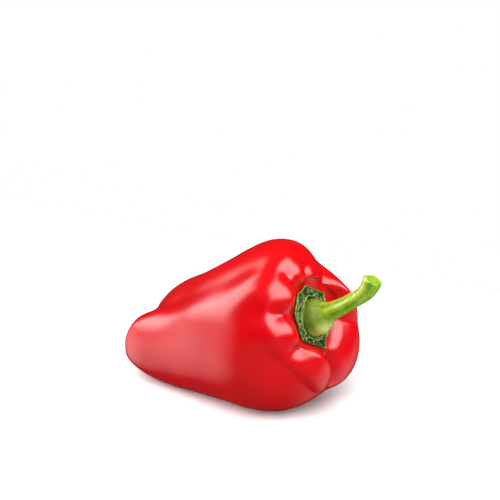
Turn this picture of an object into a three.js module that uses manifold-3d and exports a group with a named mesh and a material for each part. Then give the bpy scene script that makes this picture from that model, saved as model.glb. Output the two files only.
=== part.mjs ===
// A red bell pepper, whole, lying on its side with its green stem on.
// It has three pieces: the fruit, the calyx in the hollow of its shoulders, and the stem on the calyx.
// Every piece is worked out about the fruit's own axis, which runs from the blossom end to the stem,
// and is then laid down as the fruit lies. Lengths are in millimetres, angles in degrees, and +Z is up.

import * as THREE from 'three';
import { mergeVertices } from 'three/addons/utils/BufferGeometryUtils.js';
import Module from 'manifold-3d';

const wasm = await Module();
wasm.setup();

const DEG = Math.PI / 180;

// How the fruit lies: its axis climbs towards the stem, and its underside is pressed flat where it rests
const AXIS_CLIMB = 16;
const REST_DEPTH = 0.8;

// Outline of a lobe from the blossom end to the middle of the hollow: along the axis, out from the axis
const LOBE_OUTLINE = [
  [5.0, 0.0], [3.5, 4.5], [1.0, 11.0], [4.5, 18.5], [16.0, 25.5], [34.0, 30.5], [54.0, 35.5], [72.0, 39.0],
  [86.5, 40.0], [98.0, 37.0], [104.5, 31.0], [106.3, 25.5], [104.2, 20.8], [100.6, 17.6], [98.5, 11.5],
  [97.2, 0.0],
];

// How far a full crease falls back from that outline, at the same points: along the axis, out from the axis
const CREASE_FALL = [
  [0.0, 0.0], [0.5, -0.5], [2.0, -1.5], [1.5, -4.0], [1.0, -4.5], [0.0, -4.5], [0.0, -4.5], [0.0, -5.5],
  [-2.0, -7.0], [-5.0, -7.0], [-7.5, -4.0], [-7.0, 0.0], [-4.5, 0.5], [-1.0, 0.3], [0.0, 0.0],
  [0.0, 0.0],
];

// The seven ridges, by their angle round the axis: 0 is on top, and 90 is towards -Y.
// swell is how much further out a ridge stands than the outline, at each of SWELL_STATIONS along the axis.
// reach moves its blossom end along the axis, rise its shoulder, and lip moves the shoulder's crest outwards.
const SWELL_STATIONS = [0, 25, 50, 75, 95];
const RIDGES = [
  { angle: 14, swell: [-4.0, -2.5, -1.5, 0.0, 1.0], reach: 2.5, rise: 1.0, lip: -2.5 },
  { angle: 54, swell: [6.0, -0.5, 0.0, -0.5, 0.0], reach: -2.0, rise: 0.0, lip: -1.5 },
  { angle: 88, swell: [4.5, 1.0, 1.0, 0.0, -0.5], reach: -9.5, rise: 0.0, lip: -1.5 },
  { angle: 140, swell: [-2.0, 3.0, 5.0, 5.0, -4.0], reach: -15.0, rise: 5.5, lip: -4.0 },
  { angle: 216, swell: [0.0, 3.0, 3.5, 7.0, 10.5], reach: 11.0, rise: -0.7, lip: 1.5 },
  { angle: 282, swell: [-0.5, 0.0, 0.0, -1.0, -4.5], reach: 1.5, rise: 4.5, lip: -1.0 },
  { angle: 338, swell: [-1.5, -0.5, -2.0, 2.5, 3.0], reach: -1.5, rise: -3.5, lip: -2.0 },
];
const REACH_ENDS = 50;
const REACH_FULL_RADIUS = 14;
const RISE_SPAN = [62, 100];
const RISE_RADII = [17.5, 30];
const SWELL_FULL_RADIUS = 22;
const HOLLOW_FROM = 60;
const HOLLOW_RADII = [17.5, 36];

// The places along the outline between which the lip grows, and between which it fades into the hollow
const LIP_RISES = [0.6, 0.733];
const LIP_FALLS = [0.75, 0.86];

// The creases between the ridges. angles are at the blossom end, the middle and the shoulder.
// depth is the share of CREASE_FALL at DEPTH_PLACES, and spread widens or narrows the crease.
const DEPTH_PLACES = [0.0, 0.1, 0.28, 0.45, 0.58, 0.68, 0.75, 1.0];
const CREASES = [
  { angles: [38, 42, 28], depth: [0.0, 0.5, 1.0, 0.75, 0.45, 0.75, 0.85, 0.85], spread: 1.0 },
  { angles: [70, 70, 70], depth: [0.0, 0.0, 0.0, 0.0, 0.5, 0.75, 0.9, 0.9], spread: 0.75 },
  { angles: [112, 112, 112], depth: [0.0, 0.0, 0.0, 0.0, 0.4, 0.7, 0.9, 0.9], spread: 0.8 },
  { angles: [184, 184, 190], depth: [0.0, 0.5, 0.8, 0.5, 0.8, 1.25, 1.4, 1.4], spread: 0.8 },
  { angles: [248, 248, 248], depth: [0.0, 0.0, 0.0, 0.05, 0.1, 0.2, 0.3, 0.3], spread: 0.8 },
  { angles: [304, 308, 316], depth: [0.0, 0.5, 1.0, 0.7, 0.5, 0.8, 0.9, 0.9], spread: 1.0 },
  { angles: [356, 356, 356], depth: [0.0, 0.0, 0.0, 0.0, 0.1, 0.3, 0.7, 0.9], spread: 0.6 },
];
const CREASE_MIDDLE_SPAN = [10, 50];
const CREASE_SHOULDER_SPAN = [50, 98];

// Width of a crease and how round its bottom is, both in degrees, at WIDTH_PLACES along the outline
const WIDTH_PLACES = [0.0, 0.28, 0.45, 0.58, 0.68, 0.75, 0.85, 1.0];
const CREASE_WIDTH = [20, 20, 24, 20, 15, 13, 13, 13];
const CREASE_ROUNDING = [9, 9, 11, 8, 4.5, 4, 4.5, 5];

// Calyx: its underside is a shallow dome a little above the hollow's floor, its edge runs out into teeth
const CALYX_UNDERSIDE = 97.6;
const CALYX_DOME = 0.0107;
const CALYX_RADIUS = 13.4;
const CALYX_OFFSET = 1.0;
const CALYX_OFFSET_ANGLE = 30;
const CALYX_SEAT_RADIUS = 9.6;
const CALYX_SEAT = 100.0;
const CALYX_THICKNESS = 1.5;
const CALYX_EDGE = 0.8;
const CALYX_STEP = 1.5;
const WRINKLE_HEIGHT = 0.35;
const WRINKLES = 17;
const TEETH = [
  { angle: 7, length: 2.2, width: 10 },
  { angle: 33, length: 2.8, width: 13 },
  { angle: 68, length: 3.0, width: 9 },
  { angle: 118, length: 1.6, width: 9 },
  { angle: 190, length: 4.2, width: 11 },
  { angle: 238, length: 3.6, width: 16 },
  { angle: 306, length: 1.8, width: 9 },
];
const TOOTH_ROUNDING = 2;

// Stem: its middle line in the upright plane through the axis, as along the axis, up from the axis,
// and its radius at the same points
const STEM_LINE = [
  [100.3, 0], [104.5, 0.7], [109.5, 1.8], [116, 3.5], [123, 5.9], [130, 8.6], [134.5, 11.8], [137.5, 15.8],
];
const STEM_RADII = [9.2, 8.4, 4.9, 4.0, 3.7, 3.8, 4.2, 4.6];
const STEM_RIBS = 5;
const RIB_HEIGHT = 0.3;
const RIBS_GROW = [1, 2];
const STEM_END_DISH = 0.6;

// How finely each piece is divided
const FRUIT_STEPS_ALONG = 42;
const FRUIT_STEPS_ROUND = 90;
const CALYX_UNDER_SHARES = [-0.5, 0, 0.5, 1];
const CALYX_STEPS_OUT = 8;
const CALYX_STEPS_ROUND = 72;
const STEM_STEPS_ALONG = 26;
const STEM_STEPS_ROUND = 30;

function clamp(value, low, high) {
  return Math.min(high, Math.max(low, value));
}

// Rises from 0 at low to 1 at high, level at both ends
function smooth(low, high, value) {
  const t = clamp((value - low) / (high - low), 0, 1);
  return t * t * (3 - 2 * t);
}

// An angle brought into the range from -180 to 180
function wrap(angle) {
  return ((angle + 180) % 360 + 360) % 360 - 180;
}

// A smooth curve of evenly timed points, t from 0 to 1. Past each end the curve is its own mirror
// image in the axis, so it meets the axis squarely.
function outlineAt(points, t) {
  const last = points.length - 1;
  const mirrored = [[points[1][0], -points[1][1]], ...points, [points[last - 1][0], -points[last - 1][1]]];
  const place = clamp(t, 0, 1) * last;
  const i = Math.min(Math.floor(place), last - 1);
  const f = place - i;
  return [0, 1].map((k) => {
    const [a, b, c, d] = mirrored.slice(i, i + 4).map((point) => point[k]);
    const squared = 2 * a - 5 * b + 4 * c - d;
    const cubed = 3 * b - a - 3 * c + d;
    return (2 * b + (c - a) * f + squared * f ** 2 + cubed * f ** 3) / 2;
  });
}

// The pair of stations that a place falls between, as the first one's index and the share of the way on
function between(stations, place) {
  const held = clamp(place, stations[0], stations[stations.length - 1]);
  let i = 0;
  while (i < stations.length - 2 && held >= stations[i + 1]) {
    i += 1;
  }
  return [i, (held - stations[i]) / (stations[i + 1] - stations[i])];
}

// Values at stations joined by steps that are level at each station
function easedAt(stations, values, place) {
  const [i, t] = between(stations, place);
  return values[i] + (values[i + 1] - values[i]) * smooth(0, 1, t);
}

// Values at stations joined by one smooth curve
function curvedAt(stations, values, place) {
  const last = stations.length - 1;
  const slope = (i) => {
    const before = Math.max(i - 1, 0);
    const after = Math.min(i + 1, last);
    return (values[after] - values[before]) / (stations[after] - stations[before]);
  };
  const [i, t] = between(stations, place);
  const gap = stations[i + 1] - stations[i];
  return (2 * t ** 3 - 3 * t ** 2 + 1) * values[i] + (t ** 3 - 2 * t ** 2 + t) * gap * slope(i)
    + (3 * t ** 2 - 2 * t ** 3) * values[i + 1] + (t ** 3 - t ** 2) * gap * slope(i + 1);
}

// A value that each ridge has, carried round the fruit by one smooth closed curve
function aroundRidges(valueOf, angle) {
  const turns = [-360, 0, 360];
  const stations = turns.flatMap((turn) => RIDGES.map((ridge) => ridge.angle + turn));
  const values = turns.flatMap(() => RIDGES.map(valueOf));
  return curvedAt(stations, values, ((angle % 360) + 360) % 360);
}

// How much of a full crease there is at a place on the skin: each crease is a rounded V across it
function creaseShare(t, along, angle) {
  const width = easedAt(WIDTH_PLACES, CREASE_WIDTH, t);
  const rounding = easedAt(WIDTH_PLACES, CREASE_ROUNDING, t);
  let share = 0;
  for (const { angles: [tip, middle, shoulder], depth, spread } of CREASES) {
    const bend = wrap(middle - tip) * smooth(...CREASE_MIDDLE_SPAN, along)
      + wrap(shoulder - middle) * smooth(...CREASE_SHOULDER_SPAN, along);
    const away = wrap(angle - tip - bend);
    const across = Math.exp(-(Math.hypot(away, rounding) - rounding) / (width * spread));
    share += easedAt(DEPTH_PLACES, depth, t) * across;
  }
  return share;
}

// A point in the fruit's own frame: along the axis, and out from it at an angle from the top
function fruitFrame(along, out, angle) {
  return new THREE.Vector3(along, -out * Math.sin(angle * DEG), out * Math.cos(angle * DEG));
}

// The skin at t along the outline, from 0 at the blossom end to 1 in the hollow, and an angle round it
function skinAt(t, angle) {
  const [along, out] = outlineAt(LOBE_OUTLINE, t);
  const [fallAlong, fallOut] = outlineAt(CREASE_FALL, t);
  const reach = aroundRidges((ridge) => ridge.reach, angle);
  const rise = aroundRidges((ridge) => ridge.rise, angle);
  const swell = aroundRidges((ridge) => curvedAt(SWELL_STATIONS, ridge.swell, along), angle);
  const share = creaseShare(t, along, angle);
  const inHollow = along > HOLLOW_FROM ? smooth(...HOLLOW_RADII, out) : 1;
  const x = along + fallAlong * share
    + reach * (1 - smooth(0, REACH_ENDS, along)) * smooth(0, REACH_FULL_RADIUS, out)
    + rise * smooth(...RISE_SPAN, along) * smooth(...RISE_RADII, out);
  const atCrest = smooth(...LIP_RISES, t) * (1 - smooth(...LIP_FALLS, t));
  const lip = aroundRidges((ridge) => ridge.lip, angle) * atCrest;
  const r = out + fallOut * share + swell * smooth(0, SWELL_FULL_RADIUS, out) * inHollow + lip;
  return fruitFrame(x, r, angle);
}

// A closed surface from rings of points with one point at each end. The rings run round the axis
// the way the angle grows, from the first end to the last.
function closedRings(first, rings, last) {
  const count = rings[0].length;
  const points = [first, ...rings.flat(), last];
  const faces = [];
  const at = (ring, k) => 1 + ring * count + (k % count);
  for (let k = 0; k < count; k += 1) {
    faces.push(0, at(0, k + 1), at(0, k));
    faces.push(points.length - 1, at(rings.length - 1, k), at(rings.length - 1, k + 1));
  }
  for (let ring = 0; ring < rings.length - 1; ring += 1) {
    for (let k = 0; k < count; k += 1) {
      faces.push(at(ring, k), at(ring + 1, k + 1), at(ring + 1, k));
      faces.push(at(ring, k), at(ring, k + 1), at(ring + 1, k + 1));
    }
  }
  const geometry = new THREE.BufferGeometry();
  geometry.setAttribute('position', new THREE.Float32BufferAttribute(points.flatMap((p) => p.toArray()), 3));
  geometry.setIndex(faces);
  return geometry;
}

// Numbers from 0 up to but not including count
function countTo(count) {
  return Array.from({ length: count }, (_, i) => i);
}

function toSolid(geometry) {
  const bare = geometry.clone();
  bare.deleteAttribute('normal');
  bare.deleteAttribute('uv');
  const merged = mergeVertices(bare);
  return new wasm.Manifold(new wasm.Mesh({
    numProp: 3,
    vertProperties: new Float32Array(merged.attributes.position.array),
    triVerts: new Uint32Array(merged.index.array),
  }));
}

function toGeometry(solid) {
  const mesh = solid.getMesh();
  const geometry = new THREE.BufferGeometry();
  geometry.setAttribute('position', new THREE.BufferAttribute(mesh.vertProperties, 3));
  geometry.setIndex(new THREE.BufferAttribute(mesh.triVerts, 1));
  return geometry;
}

const lieDown = new THREE.Matrix4().makeRotationY(-AXIS_CLIMB * DEG);

// The fruit, laid down, with the flat spot that it rests on cut off its underside
function fruitGeometry() {
  const rings = countTo(FRUIT_STEPS_ALONG - 1).map((i) => {
    const t = (i + 1) / FRUIT_STEPS_ALONG;
    return countTo(FRUIT_STEPS_ROUND).map((k) => skinAt(t, (k * 360) / FRUIT_STEPS_ROUND));
  });
  const skin = closedRings(skinAt(0, 0), rings, skinAt(1, 0));
  skin.applyMatrix4(lieDown);
  skin.computeBoundingBox();
  const { min, max } = skin.boundingBox;
  const span = max.x - min.x;
  const below = new THREE.BoxGeometry(2 * span, 2 * span, span);
  below.translate((min.x + max.x) / 2, 0, min.z + REST_DEPTH - span / 2);
  return toGeometry(toSolid(skin).subtract(toSolid(below)));
}

// How far the calyx reaches from the axis at an angle: an off-centre round with teeth
function calyxReach(angle) {
  let reach = CALYX_RADIUS + CALYX_OFFSET * Math.cos((angle - CALYX_OFFSET_ANGLE) * DEG);
  for (const tooth of TEETH) {
    const away = wrap(angle - tooth.angle);
    const rounded = Math.hypot(away, TOOTH_ROUNDING) - TOOTH_ROUNDING;
    reach += tooth.length * Math.exp(-rounded / tooth.width);
  }
  return reach;
}

function calyxUnderside(out) {
  return CALYX_UNDERSIDE + CALYX_DOME * out ** 2;
}

// The upper face of the calyx: flat where the stem stands, then wrinkled out to its thin edge
function calyxTop(out, reach, angle) {
  const span = smooth(CALYX_SEAT_RADIUS, reach, out);
  const thickness = CALYX_THICKNESS + (CALYX_EDGE - CALYX_THICKNESS) * span;
  const raised = calyxUnderside(out) + thickness;
  const wrinkle = WRINKLE_HEIGHT * Math.cos(WRINKLES * angle * DEG) * Math.sin(Math.PI * span);
  const fromSeat = smooth(CALYX_SEAT_RADIUS, CALYX_SEAT_RADIUS + CALYX_STEP, out);
  return CALYX_SEAT + (raised + wrinkle - CALYX_SEAT) * fromSeat;
}

function calyxGeometry() {
  const angles = countTo(CALYX_STEPS_ROUND).map((k) => (k * 360) / CALYX_STEPS_ROUND);
  // A share of the way from the seat to the edge, or below 0 from the seat to the axis
  const outAt = (share, angle) => {
    const seat = CALYX_SEAT_RADIUS;
    return share < 0 ? seat * (1 + share) : seat + (calyxReach(angle) - seat) * share;
  };
  const under = CALYX_UNDER_SHARES.map((share) => angles.map((angle) => {
    const out = outAt(share, angle);
    return fruitFrame(calyxUnderside(out), out, angle);
  }));
  const upperShares = countTo(CALYX_STEPS_OUT + 1).map((i) => 1 - i / CALYX_STEPS_OUT);
  const upper = upperShares.map((share) => angles.map((angle) => {
    const out = outAt(share, angle);
    return fruitFrame(calyxTop(out, calyxReach(angle), angle), out, angle);
  }));
  const rings = [...under, ...upper];
  const calyx = closedRings(fruitFrame(calyxUnderside(0), 0, 0), rings, fruitFrame(CALYX_SEAT, 0, 0));
  return calyx.applyMatrix4(lieDown);
}

// The stem: rings across its middle line, ribbed, on a round foot and ending in a slightly dished cut
function stemGeometry() {
  const line = new THREE.CatmullRomCurve3(STEM_LINE.map(([x, up]) => new THREE.Vector3(x, 0, up)));
  const stations = countTo(STEM_LINE.length);
  const side = new THREE.Vector3(0, -1, 0);
  const rings = countTo(STEM_STEPS_ALONG + 1).map((i) => {
    const t = i / STEM_STEPS_ALONG;
    const middle = line.getPoint(t);
    const onward = i === 0 ? new THREE.Vector3(1, 0, 0) : line.getTangent(t);
    const up = new THREE.Vector3().crossVectors(onward, side).negate();
    const place = t * (STEM_LINE.length - 1);
    const radius = curvedAt(stations, STEM_RADII, place);
    return countTo(STEM_STEPS_ROUND).map((k) => {
      const angle = (k / STEM_STEPS_ROUND) * 2 * Math.PI;
      const out = radius + RIB_HEIGHT * Math.cos(STEM_RIBS * angle) * smooth(...RIBS_GROW, place);
      return middle.clone()
        .addScaledVector(up, out * Math.cos(angle))
        .addScaledVector(side, out * Math.sin(angle));
    });
  });
  const foot = line.getPoint(0);
  const cut = line.getPoint(1).addScaledVector(line.getTangent(1), -STEM_END_DISH);
  return closedRings(foot, rings, cut).applyMatrix4(lieDown);
}

const skinFinish = new THREE.MeshStandardMaterial({ color: 0xc8101a, roughness: 0.28, metalness: 0 });
const calyxFinish = new THREE.MeshStandardMaterial({ color: 0x4f8a36, roughness: 0.6, metalness: 0 });
const stemFinish = new THREE.MeshStandardMaterial({ color: 0x8cb83a, roughness: 0.45, metalness: 0 });

function piece(name, geometry, finish) {
  const mesh = new THREE.Mesh(geometry, finish);
  mesh.name = name;
  return mesh;
}

const pepper = new THREE.Group();
pepper.add(piece('fruit', fruitGeometry(), skinFinish));
pepper.add(piece('calyx', calyxGeometry(), calyxFinish));
pepper.add(piece('stem', stemGeometry(), stemFinish));

// The origin is under the middle of the whole pepper, on the surface that it rests on
const whole = new THREE.Box3().setFromObject(pepper);
const middle = whole.getCenter(new THREE.Vector3());
pepper.position.set(-middle.x, -middle.y, -whole.min.z);
pepper.updateMatrixWorld(true);

export default pepper;
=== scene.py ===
# %% [markdown]
# # A red bell pepper on a pale floor
# A bell pepper has three parts that the eye tells apart: the glossy lobed fruit, the toothed calyx in the
# hollow of its shoulders, and the ribbed stem. They could be sculpted by hand, but here each is one fine
# surface, a function of two parameters worked out with numpy as whole arrays, because its numbers can then
# be read and changed. Each stands for the plain solid of the same name, so the frame that holds those
# solids is loaded first.

# %% Load the frame
import math

import bpy
import numpy as np
from mathutils import Matrix, Vector


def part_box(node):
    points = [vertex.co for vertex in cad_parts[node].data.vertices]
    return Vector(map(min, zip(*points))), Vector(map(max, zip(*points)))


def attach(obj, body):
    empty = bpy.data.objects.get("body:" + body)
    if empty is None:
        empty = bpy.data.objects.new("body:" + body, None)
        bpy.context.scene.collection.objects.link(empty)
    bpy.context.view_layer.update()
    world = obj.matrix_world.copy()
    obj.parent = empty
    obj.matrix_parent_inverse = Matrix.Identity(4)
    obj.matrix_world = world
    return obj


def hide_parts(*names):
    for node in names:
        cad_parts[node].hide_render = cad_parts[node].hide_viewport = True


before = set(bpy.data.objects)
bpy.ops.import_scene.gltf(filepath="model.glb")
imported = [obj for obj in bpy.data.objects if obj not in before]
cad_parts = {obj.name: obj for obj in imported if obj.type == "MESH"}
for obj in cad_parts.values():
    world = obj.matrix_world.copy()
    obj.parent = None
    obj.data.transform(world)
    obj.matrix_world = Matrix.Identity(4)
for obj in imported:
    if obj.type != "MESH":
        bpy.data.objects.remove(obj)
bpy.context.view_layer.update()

MM = 0.001
BODY = "root"

# %% [markdown]
# ## The fruit's own frame
# A pepper grows round an axis from its blossom end to its stem. It is easiest to describe there, by a
# distance along the axis, a distance out from it and an angle round it, and to lay it down afterwards.
# Distances are in millimetres. Angles are in degrees from the top, and grow towards -Y, the camera's side.

# %% The fruit's own frame
AXIS_CLIMB = 16


def from_axis(along, out, angle):
    """Points from distances along and out from the axis and an angle round it.
    The upright part is out times the angle's cosine, and the part towards -Y is out times its sine."""
    turn = np.radians(angle)
    along = along + 0 * out
    return np.stack([along, -out * np.sin(turn), out * np.cos(turn)], axis=-1)


def laid_down(points):
    """The points turned about Y until the axis climbs towards the stem by AXIS_CLIMB.
    Each of x and z becomes a sum of both, by the climb's cosine and sine."""
    climb = math.radians(AXIS_CLIMB)
    x, y, z = np.moveaxis(points, -1, 0)
    along = x * math.cos(climb) - z * math.sin(climb)
    upright = x * math.sin(climb) + z * math.cos(climb)
    return np.stack([along, y, upright], axis=-1)


def in_the_middle(along, upright=0.0):
    """One point of the fruit's upright middle plane, laid down."""
    return laid_down(np.array([along, 0.0, upright]))


print("100 mm along the axis, laid down, mm:", in_the_middle(100).round(1).tolist())

# %% [markdown]
# ## Curves through a few values
# The shape has few driving numbers, and smooth curves carry them over the whole skin. An outline is a
# Catmull-Rom curve, which passes through its points. Stations along the fruit are joined either by such
# a curve or by steps that lie level at each station.

# %% Curves through points
def catmull_rom(points, place):
    """The curve at a place counted in points, and its slope. The first and last points only steer it.
    Each span is the cubic whose slope at a point is half the step between the point's two neighbours."""
    i = np.minimum(place.astype(int), len(points) - 4)
    f = (place - i)[..., None]
    a, b, c, d = (points[i + k] for k in range(4))
    squared = 2 * a - 5 * b + 4 * c - d
    cubed = 3 * b - a - 3 * c + d
    curve = 2 * b + (c - a) * f + squared * f**2 + cubed * f**3
    slope = (c - a) + 2 * squared * f + 3 * cubed * f**2
    return curve / 2, slope / 2


def outline_at(points, t):
    """The curve through evenly timed points, for t from 0 to 1, mirrored in the axis past each end."""
    points = np.array(points, float)
    mirror = np.array([1, -1])
    points = np.vstack([points[1] * mirror, points, points[-2] * mirror])
    return catmull_rom(points, np.clip(t, 0, 1) * (len(points) - 3))[0]


print("halfway over a bump:", outline_at([(0, 0), (1, 1), (2, 0)], np.array([0.5]))[0].tolist())


# %% Curves through stations
def smooth(low, high, value):
    """0 up to low, 1 from high on, and level at both: 3 t squared minus 2 t cubed."""
    t = np.clip((value - low) / (high - low), 0, 1)
    return t * t * (3 - 2 * t)


def between(stations, place):
    """The station before each place, and the share of the way to the next one."""
    held = np.clip(place, stations[0], stations[-1])
    i = np.clip(np.searchsorted(stations, held, side="right") - 1, 0, len(stations) - 2)
    return i, (held - stations[i]) / (stations[i + 1] - stations[i])


def eased_at(stations, values, place):
    """Values at stations joined by smooth steps."""
    stations, values = np.array(stations, float), np.array(values, float)
    i, t = between(stations, place)
    return values[i] + (values[i + 1] - values[i]) * smooth(0, 1, t)


def curved_at(stations, values, place):
    """Values at stations joined by a cubic whose slope at each is that between its two neighbours."""
    stations, values = np.array(stations, float), np.array(values, float)
    before = np.maximum(np.arange(len(stations)) - 1, 0)
    after = np.minimum(np.arange(len(stations)) + 1, len(stations) - 1)
    slope = ((values[after] - values[before]).T / (stations[after] - stations[before])).T
    i, t = between(stations, place)
    gap = stations[i + 1] - stations[i]
    if values.ndim > 1:
        t, gap = t[:, None], gap[:, None]
    return ((2 * t**3 - 3 * t**2 + 1) * values[i] + (t**3 - 2 * t**2 + t) * gap * slope[i]
            + (3 * t**2 - 2 * t**3) * values[i + 1] + (t**3 - t**2) * gap * slope[i + 1])


print("eased halfway between 0 and 1:", float(eased_at([0, 1], [0, 1], np.array([0.5]))[0]))

# %% [markdown]
# ## The fruit
# A bell pepper swells in lobes between the lines where its inner walls join the skin. It could be
# sculpted, but a surface of revolution with a few corrections is exact and easy to read: one outline for
# a lobe, a second curve for how far a crease falls back from it, and for each of the seven ridges how
# much it swells at five stations, how far its blossom end reaches, how high its shoulder rises and how
# far the lip of the hollow stands out there.

# %% The fruit's driving dimensions
# A point of an outline is a distance along the axis and one out from it.
LOBE_OUTLINE = [
    (5.0, 0.0), (3.5, 4.5), (1.0, 11.0), (4.5, 18.5), (16.0, 25.5), (34.0, 30.5), (54.0, 35.5),
    (72.0, 39.0), (86.5, 40.0), (98.0, 37.0), (104.5, 31.0), (106.3, 25.5), (104.2, 20.8), (100.6, 17.6),
    (98.5, 11.5), (97.2, 0.0),
]
CREASE_FALL = [
    (0.0, 0.0), (0.5, -0.5), (2.0, -1.5), (1.5, -4.0), (1.0, -4.5), (0.0, -4.5), (0.0, -4.5),
    (0.0, -5.5), (-2.0, -7.0), (-5.0, -7.0), (-7.5, -4.0), (-7.0, 0.0), (-4.5, 0.5), (-1.0, 0.3),
    (0.0, 0.0), (0.0, 0.0),
]
SWELL_STATIONS = [0, 25, 50, 75, 95]
RIDGES = [
    dict(angle=14, swell=[-4.0, -2.5, -1.5, 0.0, 1.0], reach=2.5, rise=1.0, lip=-2.5),
    dict(angle=54, swell=[6.0, -0.5, 0.0, -0.5, 0.0], reach=-2.0, rise=0.0, lip=-1.5),
    dict(angle=88, swell=[4.5, 1.0, 1.0, 0.0, -0.5], reach=-9.5, rise=0.0, lip=-1.5),
    dict(angle=140, swell=[-2.0, 3.0, 5.0, 5.0, -4.0], reach=-15.0, rise=5.5, lip=-4.0),
    dict(angle=216, swell=[0.0, 3.0, 3.5, 7.0, 10.5], reach=11.0, rise=-0.7, lip=1.5),
    dict(angle=282, swell=[-0.5, 0.0, 0.0, -1.0, -4.5], reach=1.5, rise=4.5, lip=-1.0),
    dict(angle=338, swell=[-1.5, -0.5, -2.0, 2.5, 3.0], reach=-1.5, rise=-3.5, lip=-2.0),
]
print(len(RIDGES), "ridges")

# %% The creases' driving dimensions
# A crease's three angles are those at the blossom end, at the middle and at the shoulder.
# Its depths and widths are given at places from 0 to 1 along the outline.
DEPTH_PLACES = [0.0, 0.1, 0.28, 0.45, 0.58, 0.68, 0.75, 1.0]
CREASES = [
    dict(angles=(38, 42, 28), depth=[0.0, 0.5, 1.0, 0.75, 0.45, 0.75, 0.85, 0.85], spread=1.0),
    dict(angles=(70, 70, 70), depth=[0.0, 0.0, 0.0, 0.0, 0.5, 0.75, 0.9, 0.9], spread=0.75),
    dict(angles=(112, 112, 112), depth=[0.0, 0.0, 0.0, 0.0, 0.4, 0.7, 0.9, 0.9], spread=0.8),
    dict(angles=(184, 184, 190), depth=[0.0, 0.5, 0.8, 0.5, 0.8, 1.25, 1.4, 1.4], spread=0.8),
    dict(angles=(248, 248, 248), depth=[0.0, 0.0, 0.0, 0.05, 0.1, 0.2, 0.3, 0.3], spread=0.8),
    dict(angles=(304, 308, 316), depth=[0.0, 0.5, 1.0, 0.7, 0.5, 0.8, 0.9, 0.9], spread=1.0),
    dict(angles=(356, 356, 356), depth=[0.0, 0.0, 0.0, 0.0, 0.1, 0.3, 0.7, 0.9], spread=0.6),
]
WIDTH_PLACES = [0.0, 0.28, 0.45, 0.58, 0.68, 0.75, 0.85, 1.0]
CREASE_WIDTH = [20, 20, 24, 20, 15, 13, 13, 13]
CREASE_ROUNDING = [9, 9, 11, 8, 4.5, 4, 4.5, 5]
print(len(CREASES), "creases")

# %% [markdown]
# ## Ridges and creases round the fruit
# The ridges' numbers are carried round the fruit by a smooth closed curve, so that each lobe runs into the
# next. A crease is a rounded V across the skin. A groove could be cut along a drawn line instead, but a
# share of a crease that is known at every point can also paint shade onto the skin there.

# %% Ridges and creases round the fruit
TIP_BEND = (10, 50)
SHOULDER_BEND = (50, 98)


def wrap(angle):
    """The same angle between -180 and 180."""
    return (angle + 180) % 360 - 180


def of_ridges(name):
    """One of the numbers that each ridge has, for all of them."""
    return np.array([ridge[name] for ridge in RIDGES], float)


def around_ridges(values, angle):
    """The ridges' values, which are the last dimension, carried round the fruit by one closed curve."""
    stations = [ridge["angle"] + turn for turn in (-360, 0, 360) for ridge in RIDGES]
    return curved_at(stations, np.tile(values, 3).T, angle % 360).T


def crease_share(t, along, angle):
    """How much of a full crease there is: the sum of each crease's depth times exp of minus the rounded
    angle away from it over its width."""
    width = eased_at(WIDTH_PLACES, CREASE_WIDTH, t)[:, None]
    rounding = eased_at(WIDTH_PLACES, CREASE_ROUNDING, t)[:, None]
    share = 0
    for crease in CREASES:
        tip, middle, shoulder = crease["angles"]
        bend = wrap(middle - tip) * smooth(*TIP_BEND, along)
        bend = bend + wrap(shoulder - middle) * smooth(*SHOULDER_BEND, along)
        away = wrap(angle - tip - bend)
        across = np.exp(-(np.hypot(away, rounding) - rounding) / (width * crease["spread"]))
        share = share + eased_at(DEPTH_PLACES, crease["depth"], t)[:, None] * across
    return share


print("rise of the shoulders round the fruit, mm:",
      around_ridges(of_ridges("rise"), np.arange(0, 360, 60)).round(1).tolist())

# %% [markdown]
# ## The skin as a function
# The two parameters are t along the outline, from the blossom end over the shoulder into the hollow, and
# the angle round the axis. Each correction fades out where it would disturb another form: the reach and
# the swell at the pole of the blossom end, the rise inside the hollow.

# %% The skin as a function
SWELL_OPENS = (0, 22)
SWELL_OPENS_IN_HOLLOW = (17.5, 36)
STEM_HALF_STARTS = 60
REACH_FADES = (0, 50)
REACH_OPENS = (0, 14)
RISE_STARTS = (62, 100)
RISE_OPENS = (17.5, 30)
LIP_RISES = (0.6, 0.733)
LIP_FALLS = (0.75, 0.86)


def skin_at(t, angle):
    """The skin at t along the outline, as a column, and angles round it, as a row.
    Along the axis it is the outline, plus the crease's fall times its share, plus the ridges' reach and
    rise. Out from it the swell and the lip take their place. Also gives the crease share."""
    along, out = outline_at(LOBE_OUTLINE, t).T[:, :, None]
    fall_along, fall_out = outline_at(CREASE_FALL, t).T[:, :, None]
    share = crease_share(t, along, angle)
    reach, rise, lip = (around_ridges(of_ridges(name), angle) for name in ("reach", "rise", "lip"))
    swell = around_ridges(curved_at(SWELL_STATIONS, of_ridges("swell").T, along[:, 0]), angle)
    in_hollow = np.where(along > STEM_HALF_STARTS, smooth(*SWELL_OPENS_IN_HOLLOW, out), 1)
    on_lip = smooth(*LIP_RISES, t)[:, None] * (1 - smooth(*LIP_FALLS, t)[:, None])
    x = along + fall_along * share
    x = x + reach * (1 - smooth(*REACH_FADES, along)) * smooth(*REACH_OPENS, out)
    x = x + rise * smooth(*RISE_STARTS, along) * smooth(*RISE_OPENS, out)
    r = out + fall_out * share + swell * smooth(*SWELL_OPENS, out) * in_hollow + lip * on_lip
    return x, r, share


widest = skin_at(np.array([0.53]), np.arange(360.0))
print("the widest ring's farthest point out, mm:", round(float(widest[1].max()), 1))

# %% [markdown]
# ## The skin's slight unevenness
# No pepper's skin is perfectly even, and the edges of its reflections wander. A noise texture could bend
# the normals for that, but a few slow waves in the surface itself are part of the mesh, and so part of the
# piece wherever it is used. They fade out towards the blossom end and the hollow.

# %% The skin's slight unevenness
UNDULATION = 0.12
QUARTER_TURN = math.pi / 2
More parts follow.
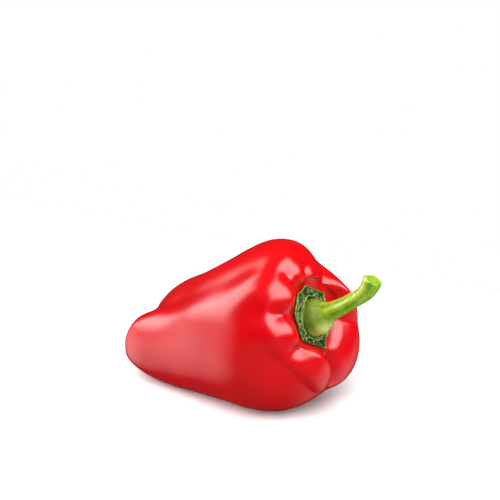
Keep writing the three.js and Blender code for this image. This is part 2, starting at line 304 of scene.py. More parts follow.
# Each wave is a product of two sines. A sine has a length along the fruit, a count round it and a start.
WAVES = [
    dict(height=0.50, sines=[(7.1, 2, 0.4), (-19, 5, QUARTER_TURN)]),
    dict(height=0.40, sines=[(5.3, -3, 1.9), (23, 4, 0.7)]),
    dict(height=0.25, sines=[(3.4, 7, 0.0), (math.inf, 3, 1.1 + QUARTER_TURN)]),
    dict(height=0.20, sines=[(2.6, -9, 2.2 + QUARTER_TURN), (15, 6, 0.0)]),
]
WAVES_START = (0.03, 0.2)
WAVES_END = (0.72, 0.8)


def unevenness(t, along, angle):
    """How far the skin stands out or in: for each wave, its height times the sines of its two phases,
    where a phase is along over the length, plus the count times the angle, plus the start."""
    turn = np.radians(angle)
    total = 0
    for wave in WAVES:
        height = wave["height"]
        for length, count, start in wave["sines"]:
            height = height * np.sin(along / length + count * turn + start)
        total = total + height
    open_skin = smooth(*WAVES_START, t) * (1 - smooth(*WAVES_END, t))
    return UNDULATION * total * open_skin[:, None]


over_the_top = unevenness(np.full(1, 0.4), 50, np.arange(-30, 31, 20))
print("unevenness across the top, mm:", over_the_top.round(3).tolist())

# %% [markdown]
# ## From arrays to a mesh
# Every piece here is a stack of closed rings with a point at each end, so one function makes them all.
# Quads join each ring to the next, and a fan of triangles closes each pole. The faces are wound so that
# they look outwards. Numbers that the finishes need ride along as attributes on the points.

# %% From arrays to a mesh
def ring_mesh(name, first, rings, last, finish, attributes):
    """A closed mesh from rings of points between a first and a last point, in millimetres from the
    part's origin."""
    rows, count = rings.shape[:2]
    points = np.vstack([first[None], rings.reshape(-1, 3), last[None]]) * MM
    ring = 1 + np.arange(rows * count).reshape(rows, count)
    here, on = ring, np.roll(ring, -1, axis=1)
    quads = np.stack([here[:-1], on[:-1], on[1:], here[1:]], axis=-1).reshape(-1, 4)
    start = np.stack([np.zeros(count, int), on[0], here[0]], axis=-1)
    end = np.stack([np.full(count, len(points) - 1), here[-1], on[-1]], axis=-1)
    mesh = bpy.data.meshes.new(name)
    mesh.from_pydata(points.tolist(), [], quads.tolist() + start.tolist() + end.tolist())
    for key, values in attributes.items():
        layer = mesh.attributes.new(key, "FLOAT", "POINT")
        poles = [values[0].mean(keepdims=True), values[-1].mean(keepdims=True)]
        full = np.concatenate([poles[0], values.ravel(), poles[1]])
        layer.data.foreach_set("value", full.astype(np.float32))
    mesh.shade_smooth()
    mesh.materials.append(finish)
    mesh.validate()
    piece = bpy.data.objects.new(name, mesh)
    bpy.context.scene.collection.objects.link(piece)
    size = (points.max(axis=0) - points.min(axis=0)) / MM
    print(name, "faces:", len(mesh.polygons), "size, mm:", [round(float(side), 1) for side in size])
    return piece


# %% [markdown]
# ## Materials as sums
# A finish is easier to read as a sum than as a pile of nodes. This small class wraps a socket, so that
# a written expression adds the Math nodes. Any other node comes from one method, which sets the node's
# own settings first and then the values or links of its sockets.

# %% Values and nodes
class Value:
    """A number or a colour in a node tree. Sums written on it add Math nodes."""

    def __init__(self, nodes, socket):
        self.nodes = nodes
        self.socket = socket

    def sum(self, operation, first, second):
        """A Math node on two values."""
        return self.nodes.node("ShaderNodeMath", {"operation": operation}, {0: first, 1: second})

    def __sub__(self, other):
        return self.sum("SUBTRACT", self, other)

    def __rsub__(self, other):
        return self.sum("SUBTRACT", other, self)

    def __mul__(self, other):
        return self.sum("MULTIPLY", self, other)

    def __rmul__(self, other):
        return self.sum("MULTIPLY", other, self)


class Nodes:
    """The node tree of a material or a world, and the one way to add nodes to it."""

    def __init__(self, owner):
        owner.use_nodes = True
        self.tree = owner.node_tree

    def node(self, kind, settings=None, sockets=None, output=0):
        """Adds a node: its settings, then its sockets' values or links. Gives one of its outputs."""
        made = self.tree.nodes.new(kind)
        for key, value in (settings or {}).items():
            setattr(made, key, value)
        for key, value in (sockets or {}).items():
            self.plug(made.inputs[key], value)
        return Value(self, made.outputs[output])

    def plug(self, socket, value):
        """Links a Value to a socket, or sets the socket to a plain number, vector or colour."""
        if isinstance(value, Value):
            self.tree.links.new(value.socket, socket)
        else:
            socket.default_value = (*value, 1) if socket.type == "RGBA" and len(value) == 3 else value


print("values and nodes ready")


# %% A finish
class Finish(Nodes):
    """A material with a Principled shader, and short names for the nodes that the finishes use."""

    def __init__(self, name):
        self.material = bpy.data.materials.new(name)
        super().__init__(self.material)
        self.shader = self.tree.nodes["Principled BSDF"]

    def attribute(self, name):
        """A number that rides on the piece's points."""
        return self.node("ShaderNodeAttribute", {"attribute_name": name}, output="Fac")

    def noise(self, scale, detail=3.0, rough=0.6, twist=0.0):
        """Soft noise from 0 to 1 over the piece's own coordinates, with about scale patches a metre."""
        place = self.node("ShaderNodeTexCoord", output="Object")
        sockets = {"Vector": place, "Scale": scale, "Detail": detail, "Roughness": rough}
        return self.node("ShaderNodeTexNoise", {}, {**sockets, "Distortion": twist}, output="Fac")

    def spread(self, value, low, high, to_low=0.0, to_high=1.0):
        """A value carried smoothly from one range to another and held at its ends."""
        sockets = {"Value": value, "From Min": low, "From Max": high, "To Min": to_low, "To Max": to_high}
        return self.node("ShaderNodeMapRange", {"interpolation_type": "SMOOTHSTEP"}, sockets)

    def mix(self, share, first, second):
        """Two colours mixed by a share from 0 to 1."""
        settings = {"data_type": "RGBA", "clamp_factor": True}
        return self.node("ShaderNodeMix", settings, {0: share, 6: first, 7: second}, output=2)

    def bump(self, height, distance, strength):
        """A normal bent by a height from 0 to 1 that stands for a distance in metres."""
        sockets = {"Height": height, "Distance": distance, "Strength": strength}
        return self.node("ShaderNodeBump", {}, sockets)

    def shade(self, **sockets):
        """Sets the Principled shader's own sockets, by name with spaces as underscores."""
        for key, value in sockets.items():
            self.plug(self.shader.inputs[key.replace("_", " ")], value)
        return self.material


print("finish maker ready")

# %% [markdown]
# ## The skin's finish
# A ripe pepper's skin is deep red flesh under a thin smooth wax. A coat over a base could stand for the
# two, but it would show every reflection twice, so the skin is one glossy surface. Its red is nearly
# even and slightly more orange in slow patches. It is painted darker in the creases and the hollow as
# painted shade, and the hollow's red is also a little more orange. The scar in the dimple of the blossom
# end is dull brown bark.

# %% The skin's finish
BODY_REDS = (0.305, 0.0002, 0.0022), (0.34, 0.0004, 0.0013)
# Painted shade: the darker reds for the creases and the hollow. The hollow's red is also a little more
# orange.
CREASE_SHADE_RED = (0.22, 0.0003, 0.002)
HOLLOW_SHADE_RED = (0.26, 0.0012, 0.001)
BARK_BROWNS = (0.05, 0.02, 0.006), (0.20, 0.12, 0.04)
CREASE_SHADE_STRENGTH = 0.5
HOLLOW_SHADE_STRENGTH = 0.35
SKIN_ROUGHNESS = 0.22
SCAR_ROUGHNESS = 0.6
WAX_IOR = 1.4
RED_PATCHES = 28
BARK_GRAIN = 900


def skin_finish():
    """The two reds, darkened as painted shade by the crease and hollow shares, with bark where the scar
    is.
    """
    skin = Finish("pepper_skin")
    red = skin.mix(skin.spread(skin.noise(RED_PATCHES, 2.0, 0.5), 0.35, 0.7), *BODY_REDS)
    # Painted shade: the red darkens towards the crease red along the creases.
    red = skin.mix(skin.spread(skin.attribute("crease"), 0.35, 1.3, 0.0, CREASE_SHADE_STRENGTH), red, CREASE_SHADE_RED)
    # Painted shade: the red darkens in the hollow, towards a slightly more orange red.
    red = skin.mix(skin.attribute("hollow") * HOLLOW_SHADE_STRENGTH, red, HOLLOW_SHADE_RED)
    bark = skin.mix(skin.spread(skin.noise(BARK_GRAIN), 0.35, 0.65), *BARK_BROWNS)
    scar = skin.attribute("scar")
    rough = skin.spread(scar, 0.0, 1.0, SKIN_ROUGHNESS, SCAR_ROUGHNESS)
    return skin.shade(Base_Color=skin.mix(scar, red, bark), Roughness=rough, IOR=WAX_IOR)


skin_material = skin_finish()
print("skin finish nodes:", len(skin_material.node_tree.nodes))

# %% [markdown]
# ## The fruit in place
# The fine skin is worked out in the fruit's own frame and laid down. The solid's box says where it goes:
# the two boxes are centred on each other along X and Y, and the lowest skin is pressed flat where the
# solid is cut flat, so that the pepper rests on the floor as the solid does.

# %% The fruit's rings
SKIN_ROWS = 300
SKIN_COLUMNS = 320
HOLLOW_STARTS = (0.76, 0.86)
SCAR_EDGE = (1.3, 2.4)
SCAR_WAVE = 0.3
SCAR_POINTS = 5
BLOSSOM_HALF_ENDS = 0.5


def outward(surface):
    """The normal of length 1 at each point: the cross product of the steps round and along the surface."""
    step_along = np.gradient(surface, axis=0)
    step_round = (np.roll(surface, -1, axis=1) - np.roll(surface, 1, axis=1)) / 2
    normal = np.cross(step_round, step_along)
    return normal / np.linalg.norm(normal, axis=-1, keepdims=True)


def fruit_rings():
    """Rings of skin from the blossom end into the hollow, laid down, with the shares of crease, hollow and
    scar. The scar is a round with a wavy edge about the axis, in the half of the blossom end alone."""
    t = np.linspace(0, 1, SKIN_ROWS + 2)[1:-1]
    angle = np.arange(SKIN_COLUMNS) * 360 / SKIN_COLUMNS
    x, r, crease = skin_at(t, angle)
    skin = laid_down(from_axis(x, r, angle))
    rings = skin + outward(skin) * unevenness(t, x, angle)[..., None]
    # The hollow share only darkens the skin's red there, as painted shade.
    hollow = smooth(*HOLLOW_STARTS, t)[:, None] + 0 * crease
    out = outline_at(LOBE_OUTLINE, t)[:, 1:] + SCAR_WAVE * np.sin(np.radians(SCAR_POINTS * angle))
    scar = (1 - smooth(*SCAR_EDGE, out)) * (t[:, None] < BLOSSOM_HALF_ENDS)
    return rings, {"crease": crease, "hollow": hollow, "scar": scar}


rings, shares = fruit_rings()
print("rings and points in a ring:", rings.shape[:2])

# %% The fruit in place
REST_DEPTH = 0.8

low, high = (np.array(corner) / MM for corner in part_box("fruit"))
floor_height = rings[..., 2].min() + REST_DEPTH
shift = (low + high) / 2 - (rings.min(axis=(0, 1)) + rings.max(axis=(0, 1))) / 2
shift[2] = low[2] - floor_height
rings[..., 2] = np.maximum(rings[..., 2], floor_height)
blossom_end, hollow_end = (in_the_middle(LOBE_OUTLINE[i][0]) + shift for i in (0, -1))
fruit = ring_mesh("pepper_fruit", blossom_end, rings + shift, hollow_end, skin_material, shares)
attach(fruit, BODY)
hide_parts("fruit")

# %% [markdown]
# ## The calyx
# The calyx is what is left of the flower's cup: a thin plate whose edge runs out into short teeth, and
# whose face is wrinkled into a net of ridges. It could be cut from a flat sheet and creased by hand. It is
# a disc in polar form here, because its edge is then a function of the angle, and its net is the border
# between the cells round scattered points.

# %% The calyx's edge
CALYX_UNDERSIDE = 97.6
CALYX_DOME = 0.0107
CALYX_RADIUS = 13.4
CALYX_OFFSET = 1.0
CALYX_OFFSET_ANGLE = 30
CALYX_SEAT_RADIUS = 9.6
CALYX_SEAT = 100.0
TOOTH_ROUNDING = 2
TEETH = [
    dict(angle=7, length=2.2, width=10), dict(angle=33, length=2.8, width=13),
    dict(angle=68, length=3.0, width=9), dict(angle=118, length=1.6, width=9),
    dict(angle=190, length=4.2, width=11), dict(angle=238, length=3.6, width=16),
    dict(angle=306, length=1.8, width=9),
]


def calyx_reach(angle):
    """How far the edge is from the axis: an off-centre round, plus a rounded spike for each tooth."""
    reach = CALYX_RADIUS + CALYX_OFFSET * np.cos(np.radians(angle - CALYX_OFFSET_ANGLE))
    for tooth in TEETH:
        rounded = np.hypot(wrap(angle - tooth["angle"]), TOOTH_ROUNDING) - TOOTH_ROUNDING
        reach = reach + tooth["length"] * np.exp(-rounded / tooth["width"])
    return reach


def calyx_underside(out):
    """Where the underside lies along the axis: its middle plus the dome times out squared."""
    return CALYX_UNDERSIDE + CALYX_DOME * out**2


reaches = calyx_reach(np.arange(360.0))
print("calyx reach, mm:", round(float(reaches.min()), 1), "to", round(float(reaches.max()), 1))

# %% The calyx's net
NET_BAND = (0.6, 5.6)
NET_SCATTER = 1.5
BORDER_WIDTH = (0.05, 0.45)
FAR_AWAY = 99.0
VEINS = dict(seed=7, circles=3, round_count=18)
FOLDS = dict(seed=3, circles=3, round_count=8)
VEIN_SHARE = 0.75
NET_BEND_OUT = 0.35
NET_BEND_ANGLE = 2.5


def net_of_ridges(out, angle, seed, circles, round_count):
    """How near each point is to a border between cells: 1 on it, 0 well inside.
    The gap between the distances to the nearest two of the scattered points is small on a border."""
    rng = np.random.default_rng(seed)
    spacing = 360 / round_count
    seed_out = np.repeat(CALYX_SEAT_RADIUS + np.linspace(*NET_BAND, circles), round_count)
    seed_angle = np.tile(np.arange(round_count) * spacing, circles)
    seed_out = seed_out + rng.uniform(-NET_SCATTER, NET_SCATTER, seed_out.size)
    seed_angle = seed_angle + rng.uniform(-spacing, spacing, seed_angle.size)
    nearest = np.full(out.shape, FAR_AWAY)
    second = nearest.copy()
    for far, turn in zip(seed_out, seed_angle):
        across = np.radians(wrap(angle - turn)) * out
        distance = np.hypot(across, out - far)
        second = np.minimum(second, np.maximum(distance, nearest))
        nearest = np.minimum(nearest, distance)
    return 1 - smooth(*BORDER_WIDTH, second - nearest)


def wrinkles(out, angle):
    """The higher of fine veins and coarse folds, on polar coordinates bent by sines of each other,
    so that no ridge runs straight."""
    bent_out = out + NET_BEND_OUT * np.sin(np.radians(13 * angle) + 1.3 * out)
    bent_angle = angle + NET_BEND_ANGLE * np.sin(1.9 * out + np.radians(5 * angle))
    veins = net_of_ridges(bent_out, bent_angle, **VEINS)
    folds = net_of_ridges(bent_out, bent_angle, **FOLDS)
    return np.maximum(VEIN_SHARE * veins, folds)


once_round = wrinkles(np.full(360, 12.0), np.arange(360.0))
print("the wrinkles' mean height 12 mm out:", round(float(once_round.mean()), 2))

# %% [markdown]
# ## The calyx's finish
# The net's ridges are uneven pale green, partly their own tissue and partly painted highlight. The cells
# between them are painted nearly black as painted shade in the recesses, and the rim is a mid green. Some
# brown specks are where the tissue has dried. It is a dull leaf surface with only a little sheen, and a
# fine bump breaks that up.

# %% The calyx's finish
# Painted shade: the nearly black greens of the cells. The pale ridge greens are partly painted highlight.
SHADED_CELL_GREENS = (0.001, 0.004, 0.0005), (0.010, 0.030, 0.002)
RIDGE_AND_HIGHLIGHT_GREENS = (0.05, 0.10, 0.008), (0.22, 0.28, 0.06)
RIM_GREENS = (0.05, 0.13, 0.015), (0.15, 0.27, 0.05)
SPECK_BROWN = (0.09, 0.05, 0.02)
LEAF_PATCHES = 330
LEAF_SPECKS = 1500
LEAF_GRAIN = 1800
LEAF_GRAIN_HEIGHT = 0.0002


def calyx_finish():
    """Dark cells, pale ridges and a green rim by the net and rim shares, and specks inside the rim."""
    leaf = Finish("pepper_calyx")
    rim = leaf.attribute("rim")
    patches = leaf.noise(LEAF_PATCHES, twist=1.5)
    # Painted shade: the cells between the ridges are nearly black.
    cells = leaf.mix(leaf.spread(patches, 0.35, 0.65), *SHADED_CELL_GREENS)
    # The ridges' pale green is partly their own tissue and partly painted highlight.
    ridges = leaf.mix(leaf.spread(patches, 0.3, 0.7), *RIDGE_AND_HIGHLIGHT_GREENS)
    edge = leaf.mix(leaf.spread(patches, 0.4, 0.6), *RIM_GREENS)
    green = leaf.mix(leaf.spread(leaf.attribute("net"), 0.25, 0.85), cells, ridges)
    green = leaf.mix(rim, green, edge)
    specks = leaf.spread(leaf.noise(LEAF_SPECKS, 2.0, 0.5), 0.66, 0.74, 0.0, 0.6)
    green = leaf.mix(specks * (1 - rim), green, SPECK_BROWN)
    normal = leaf.bump(leaf.noise(LEAF_GRAIN), LEAF_GRAIN_HEIGHT, 0.6)
    return leaf.shade(Base_Color=green, Roughness=0.45, Normal=normal, IOR=1.3)


calyx_material = calyx_finish()
print("calyx finish nodes:", len(calyx_material.node_tree.nodes))

# %% [markdown]
# ## The calyx in place
# The plate has two faces, so its rings run out along the underside and back over the upper face. The net,
# the rim and a low wavering collar round the stem's foot stand up from that face as real relief, because a
# bump in the finish would vanish at the edge, where they are seen from the side.

# %% The calyx's rings
CALYX_COLUMNS = 720
UNDERSIDE_SHARES = np.linspace(0.1, 1, 12)
UPPER_SHARES = np.linspace(1, 0.02, 60)
CALYX_THICKNESS = 1.5
CALYX_EDGE = 0.8
NET_HEIGHT = 1.0
NET_LEVEL = 0.6
NET_OPENS = (0.02, 0.12)
RIM_STARTS = (0.92, 0.98)
RIM_HEIGHT = 0.1
COLLAR_RADIUS = 10.7
COLLAR_WIDTH = 0.35
COLLAR_HEIGHT = 0.4
SEAT_BLEND = 1.2
# A sine round the calyx has a height, a count and a start.
COLLAR_SINES = [(0.4, 4, 1.0), (0.25, 11, 0.0)]
EDGE_SINES = [(0.2, 5, 0.8), (0.08, 17, 0.0)]
EDGE_SINES_OPEN = (0.4, 1)


def sines_round(sines, angle):
    """The sum of each height times the sine of the count times the angle plus the start."""
    return sum(height * np.sin(np.radians(count * angle) + start) for height, count, start in sines)


def calyx_rings():
    """Rings out along the underside and back over the upper face, with the net and rim shares.
    The upper face is the underside plus the thickness and the relief, and lies level on the seat."""
    angle = np.arange(CALYX_COLUMNS) * 360 / CALYX_COLUMNS
    reach = calyx_reach(angle)
    out = np.concatenate([UNDERSIDE_SHARES, UPPER_SHARES])[:, None] * reach
    upper = (np.arange(len(out)) >= len(UNDERSIDE_SHARES))[:, None]
    span = np.clip((out - CALYX_SEAT_RADIUS) / (reach - CALYX_SEAT_RADIUS), 0, 1)
    thickness = CALYX_THICKNESS + (CALYX_EDGE - CALYX_THICKNESS) * smooth(0, 1, span)
    collar = np.exp(-((out - COLLAR_RADIUS - sines_round(COLLAR_SINES, angle)) / COLLAR_WIDTH) ** 2)
    net = np.maximum(wrinkles(out, angle), collar)
    rim = smooth(*RIM_STARTS, span)
    relief = NET_HEIGHT * (net - NET_LEVEL) * smooth(*NET_OPENS, span) * (1 - rim)
    relief = relief + RIM_HEIGHT * rim + COLLAR_HEIGHT * collar
    from_seat = smooth(CALYX_SEAT_RADIUS, CALYX_SEAT_RADIUS + SEAT_BLEND, out)
    top = CALYX_SEAT + (calyx_underside(out) + thickness + relief - CALYX_SEAT) * from_seat
    x = np.where(upper, top, calyx_underside(out))
    x = x + sines_round(EDGE_SINES, angle) * smooth(*EDGE_SINES_OPEN, span)
    return laid_down(from_axis(x, out, angle)), {"net": net * (1 - rim), "rim": rim}


rings, shares = calyx_rings()
print("rings and points in a ring:", rings.shape[:2])

# %% The calyx in place
underside, seat = (in_the_middle(along) + shift for along in (CALYX_UNDERSIDE, CALYX_SEAT))
calyx = ring_mesh("pepper_calyx", underside, rings + shift, seat, calyx_material, shares)
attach(calyx, BODY)
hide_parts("calyx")

# %% [markdown]
# ## The stem
# The stalk swells into a round foot where it meets the calyx, has five blunt ribs along it, curls upwards
# and ends in a slightly flared cut with a rounded rim. A curve with a bevel could make a plain stalk. A
# ring carried along a middle line is as easy, and its radius can be a function of the place along the line
# and the angle round it, which gives the ribs and the foot too.

# %% The stem's driving dimensions
# A point of the middle line is a distance along the axis and a height above it.
STEM_LINE = [
    (100.3, 0), (104.5, 0.7), (109.5, 1.8), (116, 3.5), (123, 5.9), (130, 8.6), (134.5, 11.8),
    (137.5, 15.8),
]
STEM_RADII = [9.2, 8.4, 4.9, 4.0, 3.7, 3.8, 4.2, 4.6]
STEM_RIBS = 5
RIB_HEIGHT = 0.3
RIB_SWAY = 0.35
RIB_SWAY_RATE = 1.3
RIBS_START = (1, 2)
# A streak has a height, a count round the stem, a sway along it and a start.
STREAKS = [(0.05, 23, 1.2, 0.0), (0.04, 37, 0.0, 0.9)]
CUT_ROUNDING = 0.9
CUT_ROUNDING_SPAN = 0.2
CUT_DISH = 0.35
CUT_DISH_EDGE = 0.55
LAST_POINT = len(STEM_LINE) - 1


def line_at(points, place):
    """The curve through points in the middle plane, run on straight past each end, and its direction."""
    points = np.array(points, float)
    points = np.vstack([2 * points[0] - points[1], points, 2 * points[-1] - points[-2]])
    curve, slope = catmull_rom(points, place)
    return curve, slope / np.linalg.norm(slope, axis=1, keepdims=True)


steps = np.diff(line_at(STEM_LINE, np.linspace(0, LAST_POINT, 200))[0], axis=0)
print("stem length along its line, mm:", round(float(np.linalg.norm(steps, axis=1).sum()), 1))

# %% The stem's rings
STEM_ROWS = 260
STEM_COLUMNS = 180
CUT_ROWS = 9


def stem_rings():
    """Rings across the middle line from the foot to the cut, with their shares, and the line's end and
    direction there. The radius is the curve through STEM_RADII, plus cosines of the angle for the ribs
    and the streaks, less a quarter round near the cut."""
    place = np.linspace(0, LAST_POINT, STEM_ROWS)
    middle, onward = line_at(STEM_LINE, place)
    onward[0] = (1, 0)
    turn = np.arange(STEM_COLUMNS) * 2 * np.pi / STEM_COLUMNS
    radius = curved_at(np.arange(len(STEM_LINE)), STEM_RADII, place)[:, None]
    place = place[:, None]
    ribbed = smooth(*RIBS_START, place)
    rib = np.cos(STEM_RIBS * turn + RIB_SWAY * np.sin(place * RIB_SWAY_RATE))
    streaks = sum(height * np.cos(count * turn + sway * np.sin(place) + start)
                  for height, count, sway, start in STREAKS)
    near_cut = np.clip(1 - (LAST_POINT - place) / CUT_ROUNDING_SPAN, 0, 1)
    rounded = CUT_ROUNDING * (1 - np.sqrt(1 - near_cut**2))
    out = radius + (RIB_HEIGHT * rib + streaks) * ribbed - rounded
    x = middle[:, :1] - onward[:, 1:] * out * np.cos(turn)
    z = middle[:, 1:] + onward[:, :1] * out * np.cos(turn)
    rings = np.stack([x, -out * np.sin(turn), z], axis=-1)
    shares = {"rib": rib * ribbed, "along": place / LAST_POINT + 0 * out, "upward": np.cos(turn) + 0 * out}
    return rings, shares, middle[-1], onward[-1]


def cut_rings(last_ring, end, onward):
    """Rings that shrink over the cut, which dishes in smoothly by CUT_DISH towards its middle."""
    share = np.linspace(1, 0, CUT_ROWS + 2)[1:-1][:, None, None]
    centre = np.array([end[0], 0, end[1]])
    inward = np.array([onward[0], 0, onward[1]])
    return centre + (last_ring - centre) * share - inward * CUT_DISH * smooth(1, CUT_DISH_EDGE, share)


rings, shares, end, onward = stem_rings()
cap = cut_rings(rings[-1], end, onward)
print("rings along the stalk and over its cut:", len(rings), len(cap))

# %% [markdown]
# ## The stem's finish
# The stalk is painted brighter and yellower on its upper side and deeper below, which is painted light
# from above with a yellower tone of its own. It is painted darker in the grooves between its ribs as
# painted shade, and a pale painted highlight runs along the top. Its foot is a duller olive green with a
# pale patch underneath. The cut is a plain green that is a little brighter in the middle. All of it
# follows attributes of the shape, so a soft noise is enough to break it up.

# %% The stem's finish
# The stalk's two greens: the brighter upper one is painted light from above, with a yellower tone of its
# own.
STALK_SHADED_AND_LIT_GREENS = (0.11, 0.24, 0.003), (0.23, 0.32, 0.007)
# Painted shade for the grooves between the ribs.
GROOVE_SHADE_GREEN = (0.06, 0.15, 0.001)
MOTTLE_GREEN = (0.28, 0.37, 0.035)
# Painted highlight: the pale green of a streak along the top of the stalk.
PAINTED_HIGHLIGHT_GREEN = (0.38, 0.46, 0.16)
FOOT_GREENS = (0.065, 0.10, 0.006), (0.11, 0.155, 0.018)
FOOT_PALE = (0.30, 0.36, 0.075)
CUT_GREENS = (0.12, 0.20, 0.008), (0.16, 0.23, 0.025)
FOOT_ENDS = (0.20, 0.34)
PAINTED_HIGHLIGHT_STARTS = (0.3, 0.42)
STALK_PATCHES = 180
STALK_GRAIN = 1300
STALK_GRAIN_HEIGHT = 0.00012


def stem_finish():
    """Greens laid over each other by how far a point is along the stem, up its side and over its cut."""
    stalk = Finish("pepper_stem")
    along = stalk.attribute("along")
    upward = stalk.attribute("upward")
    cut = stalk.attribute("cut")
    patches = stalk.noise(STALK_PATCHES)
    # Painted light: the stalk is brighter and yellower on its upper side and deeper below.
    green = stalk.mix(stalk.spread(upward, -0.7, 0.7), *STALK_SHADED_AND_LIT_GREENS)
    # Painted shade: the grooves between the ribs are darker.
    green = stalk.mix(stalk.spread(stalk.attribute("rib"), -0.9, 0.3, 0.8, 0.0), green, GROOVE_SHADE_GREEN)
    green = stalk.mix(stalk.spread(patches, 0.45, 0.75, 0.0, 0.5), green, MOTTLE_GREEN)
    # Painted highlight: a pale streak along the top of the stalk, broken up by noise.
    painted_highlight = stalk.spread(upward, 0.2, 0.5, 0.0, 0.75) * stalk.spread(upward, 0.95, 0.7)
    painted_highlight = painted_highlight * stalk.spread(patches, 0.3, 0.6) * stalk.spread(along, *PAINTED_HIGHLIGHT_STARTS)
    green = stalk.mix(painted_highlight, green, PAINTED_HIGHLIGHT_GREEN)
    foot = stalk.mix(stalk.spread(patches, 0.35, 0.7), *FOOT_GREENS)
    foot = stalk.mix(stalk.spread(upward, -0.2, -0.95), foot, FOOT_PALE)
    green = stalk.mix(stalk.spread(along, *FOOT_ENDS), foot, green)
    pith = stalk.mix(stalk.spread(cut, 0.5, 0.9), *CUT_GREENS)
    green = stalk.mix(stalk.spread(cut, 0.25, 0.5), green, pith)
    normal = stalk.bump(stalk.noise(STALK_GRAIN), STALK_GRAIN_HEIGHT, 0.4)
    rough = stalk.spread(patches, 0.3, 0.7, 0.18, 0.32)
    return stalk.shade(Base_Color=green, Roughness=rough, Normal=normal, IOR=1.45)


stem_material = stem_finish()
print("stem finish nodes:", len(stem_material.node_tree.nodes))

# %% [markdown]
# ## The stem in place
# The rings over the cut follow those along the stalk, so the whole stem is one closed mesh. The finish
# needs to know where the cut is, so a fourth attribute grows from the cut's rim to its middle.

# %% The stem in place
CUT_SHARE_AT_RIM = 0.3

flat = 0 * cap[..., 0]
shares = {name: np.vstack([values, flat + (name == "along")]) for name, values in shares.items()}
over_cut = np.linspace(CUT_SHARE_AT_RIM, 1, len(cap))[:, None] + flat
shares["cut"] = np.vstack([0 * rings[..., 0], over_cut])
foot_middle = in_the_middle(*STEM_LINE[0]) + shift
cut_middle = in_the_middle(*(end - CUT_DISH * onward)) + shift
rings = laid_down(np.vstack([rings, cap])) + shift
stem = ring_mesh("pepper_stem", foot_middle, rings, cut_middle, stem_material, shares)
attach(stem, BODY)
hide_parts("stem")

# %% [markdown]
# ## The camera
# The photograph looks down on the pepper by 17 degrees, from 33.5 degrees round towards its stem, through
# a fairly long lens. The camera is placed from what was measured there: the millimetres that one pixel
# covers at the middle of the calyx, and the pixel where that middle is.

# %% The camera
CAMERA_AZIMUTH = 33.5
CAMERA_ELEVATION = 17.0
LENS = 85.0
SENSOR = 36.0
NEAREST_SEEN = 0.01
PICTURE = 500
MM_PER_PIXEL = 0.4850
CALYX_MIDDLE = 101.0
CALYX_PIXEL = (315.0, 317.5)


def direction(azimuth, elevation):
    """The vector of length 1 from the pepper towards an azimuth, from -Y round to +X, and an elevation.
    Its x and y are the azimuth's sine and minus its cosine, times the elevation's cosine, and its z is
    the elevation's sine."""
    turn, lift = math.radians(azimuth), math.radians(elevation)
    return Vector((math.sin(turn) * math.cos(lift), -math.cos(turn) * math.cos(lift), math.sin(lift)))


def add_camera():
    """Stands back from the calyx's middle along the view, then aside so that it falls on its pixel."""
    back = direction(CAMERA_AZIMUTH, CAMERA_ELEVATION)
    right = direction(CAMERA_AZIMUTH + 90, 0)
    up = back.cross(right)
    distance = LENS / SENSOR * PICTURE * MM_PER_PIXEL
    aside = (CALYX_PIXEL[0] - PICTURE / 2) * MM_PER_PIXEL
    below = (CALYX_PIXEL[1] - PICTURE / 2) * MM_PER_PIXEL
    target = Vector((in_the_middle(CALYX_MIDDLE) + shift).tolist())
    eye = target + back * distance - right * aside + up * below
    data = bpy.data.cameras.new("camera")
    data.lens = LENS
    data.sensor_width = SENSOR
    data.clip_start = NEAREST_SEEN
    camera = bpy.data.objects.new("camera", data)
    camera.matrix_world = Matrix.Translation(eye * MM) @ Matrix((right, up, back)).transposed().to_4x4()
    bpy.context.scene.collection.objects.link(camera)
    bpy.context.scene.camera = camera
    return camera


camera = add_camera()
print("camera at, mm:", [round(value / MM, 1) for value in camera.matrix_world.translation])

# %% [markdown]
# ## The floor
# The photograph's floor is burnt out to white, and only the tight soft shadow shows where it is. A plain
# pale sheet does for it. It is hidden from reflections, because the pepper's belly stays deep red right
# down to the floor, and a bright floor mirrored in the skin would wash that out.

# %% The floor
FLOOR_SIDE = 0.5
FLOOR_FRONT = -0.5
FLOOR_BACK = 0.22
FLOOR_PALE = (0.85, 0.85, 0.85)


def add_floor():
    """One rectangle at z = 0."""
    corners = [(x, y, 0) for y in (FLOOR_FRONT, FLOOR_BACK) for x in (-FLOOR_SIDE, FLOOR_SIDE)]
    mesh = bpy.data.meshes.new("floor")
    mesh.from_pydata(corners, [], [(0, 1, 3, 2)])
    mesh.materials.append(Finish("pale_floor").shade(Base_Color=FLOOR_PALE, Roughness=0.9))
    floor = bpy.data.objects.new("floor", mesh)
    floor.visible_glossy = False
    bpy.context.scene.collection.objects.link(floor)
    return floor


floor = add_floor()
print("floor, mm:", [round(side / MM) for side in floor.dimensions])

# %% [markdown]
# ## Lamps that light one group alone
# The skin needs large panels for its pale reflections, and the floor needs other light for its tight
# shadow. Blender's light linking gives each lamp the collection of pieces that it lights, so the two can
# be set apart. A lamp is placed by its direction from the pepper, and is never seen itself.

# %% Lamps that light one group alone
LAMP_AIM = Vector((0, 0, 0.04))


def group_of(name, pieces):
    """A collection of pieces for lamps to light."""
    group = bpy.data.collections.new(name)
    for piece in pieces:
        group.objects.link(piece)
    return group


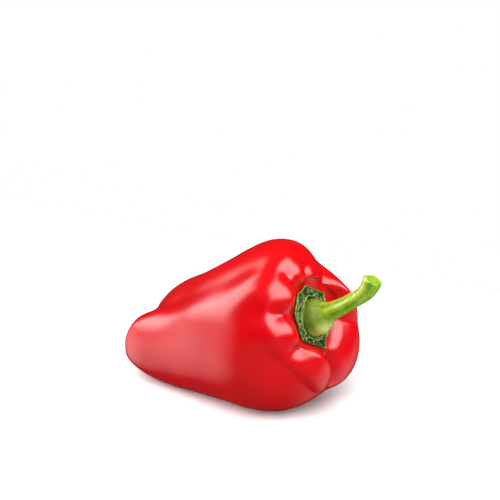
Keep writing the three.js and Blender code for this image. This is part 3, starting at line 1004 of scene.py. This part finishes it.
def add_lamp(name, kind, energy, azimuth, elevation, distance=0.0, lights=None, mirrored=True, **settings):
    """A lamp in a direction from LAMP_AIM, turned to shine back at it. It lights one group or, without
    one, everything, and shows in reflections if it is mirrored."""
    data = bpy.data.lights.new(name, kind)
    data.energy = energy
    for key, value in settings.items():
        setattr(data, key, value)
    lamp = bpy.data.objects.new(name, data)
    lamp.visible_camera = False
    lamp.visible_glossy = mirrored
    lamp.light_linking.receiver_collection = lights
    back = direction(azimuth, elevation)
    turn = back.to_track_quat("Z", "Y").to_matrix().to_4x4()
    lamp.matrix_world = Matrix.Translation(LAMP_AIM + back * distance) @ turn
    bpy.context.scene.collection.objects.link(lamp)
    return lamp


def add_area(name, azimuth, elevation, distance, size, radiance, **more):
    """A rectangle of light, whose power is its radiance times pi times its width times its height."""
    width, height = size
    power = radiance * math.pi * width * height
    shape = dict(shape="RECTANGLE", size=width, size_y=height)
    return add_lamp(name, "AREA", power, azimuth, elevation, distance, **shape, **more)


pepper_group = group_of("lit_by_panels", [fruit, calyx, stem])
floor_group = group_of("lit_by_floor_lamps", [floor])

# %% [markdown]
# ## The pepper's lamps
# A long pale veil lies down the near lobe, and the shoulders and the right-hand lobes carry small bright
# patches, so panels stand high and low on both sides. Such a patch fades out softly, which one area can't
# do. So a panel is a stack of five areas, from small to large, that share its radiance. They also stand a
# little apart, because only one of several areas at the very same distance shows in a reflection.

# %% The pepper's lamps
CEILING = dict(name="ceiling", azimuth=0, elevation=90, distance=2.5, size=(8.0, 8.0), radiance=1.3)
PANELS = [
    dict(name="left_panel", azimuth=-71, elevation=32, size=(0.74, 0.66), radiance=8.0, softness=0.35),
    dict(name="low_left_panel", azimuth=-66, elevation=-12, size=(1.0, 0.9), radiance=2.7, softness=0.7),
    dict(name="right_panel", azimuth=77, elevation=45, size=(1.0, 0.9), radiance=10.5, softness=0.35),
    dict(name="low_right_panel", azimuth=130, elevation=-40, size=(0.9, 0.8), radiance=1.1, softness=0.6),
]
PANEL_DISTANCE = 1.0
PANEL_LAYERS = 5
LAYERS_APART = 0.1
LOW_FILL = dict(name="low_fill", kind="SUN", energy=2.5, azimuth=-82, elevation=-15, use_shadow=False)


def add_panel(name, azimuth, elevation, size, radiance, softness):
    """Areas scaled from 1 - softness to 1 + softness, each a little farther away than the one before."""
    share = radiance / PANEL_LAYERS
    for scale in np.linspace(1 - softness, 1 + softness, PANEL_LAYERS).tolist():
        distance = PANEL_DISTANCE * (1 + LAYERS_APART * (scale - 1))
        scaled = [side * scale for side in size]
        add_area(name, azimuth, elevation, distance, scaled, share, lights=pepper_group)


add_area(**CEILING, mirrored=False)
for panel in PANELS:
    add_panel(**panel)
add_lamp(**LOW_FILL, lights=pepper_group, mirrored=False)
print("areas:", len([item for item in bpy.data.lights if item.type == "AREA"]))

# %% [markdown]
# ## The floor's lamps and the room
# A bright sun, wide enough to blur the shadow's edge, stands above the camera and a little to its left,
# and whitens the floor. A weak one without a shadow keeps the shadow from going black. Past the floor the
# camera sees a white room, but every other ray finds it nearly dark, so that it doesn't pale the skin.

# %% The floor's lamps and the room
SUN_WIDTH = math.radians(50)
FLOOR_SUN = dict(name="floor_fill", kind="SUN", energy=3.6, azimuth=15, elevation=50, angle=SUN_WIDTH)
FLOOR_GLOW = dict(name="floor_glow", kind="SUN", energy=0.5, azimuth=0, elevation=90, use_shadow=False)
ROOM_LIGHT = 0.04


def add_room():
    """A white world, whose strength is 1 for the camera's own rays and ROOM_LIGHT for all others."""
    world = bpy.data.worlds.new("studio")
    room = Nodes(world)
    seen = room.node("ShaderNodeLightPath", output="Is Camera Ray")
    strength = room.node("ShaderNodeMapRange", {}, {"Value": seen, "To Min": ROOM_LIGHT, "To Max": 1.0})
    background = room.tree.nodes["Background"]
    room.plug(background.inputs["Color"], (1, 1, 1))
    room.plug(background.inputs["Strength"], strength)
    bpy.context.scene.world = world


for lamp in (FLOOR_SUN, FLOOR_GLOW):
    add_lamp(**lamp, lights=floor_group)
add_room()
bpy.context.scene.view_settings.view_transform = "Standard"
